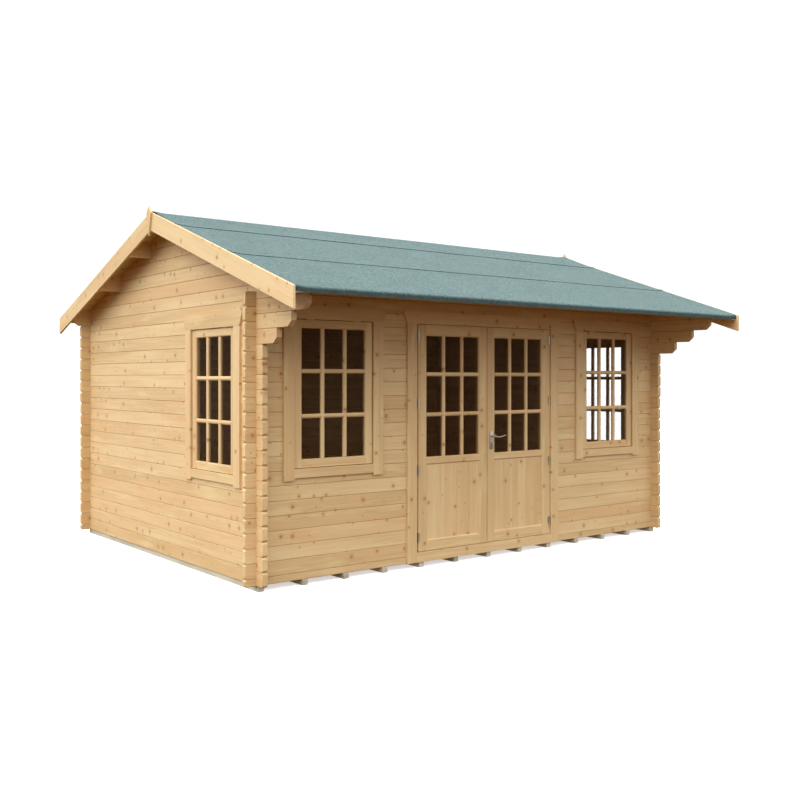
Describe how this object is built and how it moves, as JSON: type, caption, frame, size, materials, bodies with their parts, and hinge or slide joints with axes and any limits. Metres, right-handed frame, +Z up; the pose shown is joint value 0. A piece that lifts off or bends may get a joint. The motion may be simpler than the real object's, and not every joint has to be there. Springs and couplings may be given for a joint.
{
  "type": "log cabin",
  "caption": "Notched log cabin with a low pitched felt roof, deep front eave on stepped corbels, glazed double doors and multi-pane windows.",
  "frame": {"origin": "on the ground under the ridge, midway between the two gables", "axes": "+X along the front from left to right as seen from outside, +Y from the front towards the back, +Z up"},
  "size_m": [5.268, 4.714, 3.116],
  "materials": {
    "pine_logs": "planed bare pine",
    "pine_boards": "planed bare pine",
    "pine_joinery": "smooth planed pine",
    "treated_timber": "rough sawn, grey green",
    "roofing_felt": "mineral surfaced felt",
    "pane_glass": "clear",
    "bright_steel": "satin"
  },
  "bodies": {
    "cabin": {"floor_bearers": "treated_timber", "floor": "pine_boards", "front_logs_even": "pine_logs", "front_logs_odd": "pine_logs", "back_logs_even": "pine_logs", "back_logs_odd": "pine_logs", "left_gable_logs_even": "pine_logs", "left_gable_logs_odd": "pine_logs", "right_gable_logs_even": "pine_logs", "right_gable_logs_odd": "pine_logs", "purlins": "pine_boards", "roof_boards_front": "pine_boards", "roof_boards_back": "pine_boards", "eaves_battens": "pine_boards", "felt_eave_courses": "roofing_felt", "felt_middle_courses": "roofing_felt", "felt_ridge": "roofing_felt", "barge_front_left": "pine_boards", "barge_back_left": "pine_boards", "barge_front_right": "pine_boards", "barge_back_right": "pine_boards", "finial_left": "pine_boards", "finial_right": "pine_boards", "window_frames": "pine_joinery", "sash_front_left": "pine_joinery", "sash_front_right": "pine_joinery", "sash_left_gable": "pine_joinery", "sash_right_gable": "pine_joinery", "window_glass": "pane_glass", "head_trims": "pine_joinery", "side_trims": "pine_joinery", "sill_trims": "pine_joinery", "door_frame": "pine_joinery", "threshold": "pine_joinery", "hinge_posts": "bright_steel"},
    "left_door": {"left_leaf": "pine_joinery", "left_panel": "pine_joinery", "left_glass": "pane_glass", "left_hinges": "bright_steel"},
    "right_door": {"right_leaf": "pine_joinery", "right_panel": "pine_joinery", "right_glass": "pane_glass", "right_hinges": "bright_steel", "handle_plates": "bright_steel"},
    "lever": {"lever_handle": "bright_steel"}
  },
  "joints": [
    {"name": "left_door_swing", "type": "hinge", "parent": "cabin", "child": "left_door", "pos_m": [-0.824, -1.486, 1], "axis": [0, 0, 1], "range_deg": [-100, 0]},
    {"name": "right_door_swing", "type": "hinge", "parent": "cabin", "child": "right_door", "pos_m": [0.788, -1.486, 1], "axis": [0, 0, 1], "range_deg": [0, 100]},
    {"name": "lever_press", "type": "hinge", "parent": "right_door", "child": "lever", "pos_m": [0.0315, -1.471, 1.098], "axis": [0, 1, 0], "range_deg": [0, 45], "stiffness_Nm_per_rad": 2, "springref_deg": -17.19}
  ]
}
